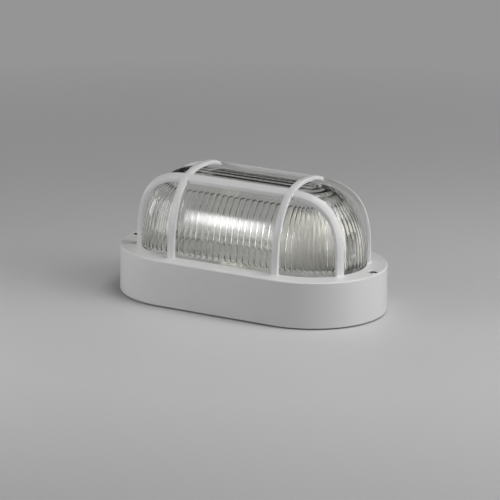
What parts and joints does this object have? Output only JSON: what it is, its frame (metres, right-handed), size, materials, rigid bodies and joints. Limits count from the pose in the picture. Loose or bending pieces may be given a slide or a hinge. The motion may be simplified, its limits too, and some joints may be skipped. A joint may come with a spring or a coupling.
{
  "type": "oval caged ceiling light",
  "caption": "Oval bulkhead light with a fluted clear glass under a white one-piece cover whose integral cage of rails and hoops guards it; lamp holder and terminals inside.",
  "frame": {"origin": "centre of the flat back that goes on the wall or ceiling", "axes": "+Z out of the wall or ceiling, +X along the light towards the lamp holder, +Y to the rear in the picture's view"},
  "size_m": [0.21, 0.115, 0.0983],
  "materials": {
    "white_enamel": "glossy white stove enamel on die-cast aluminium",
    "clear_glass": "clear pressed glass, smooth outside and fluted inside",
    "cover_screw_steel": "bright zinc-plated steel",
    "zinc_screws": "zinc-plated steel",
    "spring_steel": "bare spring steel",
    "bracket_steel": "zinc-plated sheet steel",
    "brass": "bare brass",
    "white_porcelain": "glazed white porcelain",
    "natural_nylon": "natural nylon",
    "black_rubber": "black rubber",
    "pale_silicone": "pale silicone rubber",
    "grey_foam": "dark grey closed-cell foam",
    "brown_insulation": "brown sleeving",
    "blue_insulation": "blue sleeving",
    "green_yellow_insulation": "green sleeving with a yellow stripe"
  },
  "bodies": {
    "root": {"back_pan": "white_enamel", "block_screw_1": "zinc_screws", "block_screw_2": "zinc_screws", "bracket_screw_1": "zinc_screws", "bracket_screw_2": "zinc_screws", "cable_grommet": "black_rubber", "centre_contact": "brass", "centre_contact_screw": "brass", "clip_screw_1": "zinc_screws", "clip_screw_2": "zinc_screws", "clip_screw_3": "zinc_screws", "clip_screw_4": "zinc_screws", "cover_screw_left": "cover_screw_steel", "cover_screw_right": "cover_screw_steel", "earth_screw": "brass", "earth_tag": "brass", "earth_washer": "zinc_screws", "front_cover": "white_enamel", "glass_clip_1": "spring_steel", "glass_clip_2": "spring_steel", "glass_clip_3": "spring_steel", "glass_clip_4": "spring_steel", "glass_dome": "clear_glass", "glass_gasket": "pale_silicone", "holder_bracket": "bracket_steel", "holder_screw_1": "zinc_screws", "holder_screw_2": "zinc_screws", "lamp_holder_body": "white_porcelain", "lamp_holder_shell": "brass", "lead_earth": "green_yellow_insulation", "lead_live": "brown_insulation", "lead_neutral": "blue_insulation", "screw_seal_left": "black_rubber", "screw_seal_right": "black_rubber", "side_contact": "brass", "side_contact_screw": "brass", "terminal_block": "natural_nylon", "terminal_screw_1": "zinc_screws", "terminal_screw_2": "zinc_screws", "terminal_screw_3": "zinc_screws", "terminal_screw_4": "zinc_screws", "terminal_screw_5": "zinc_screws", "terminal_screw_6": "zinc_screws", "wall_gasket": "grey_foam"}
  },
  "joints": []
}
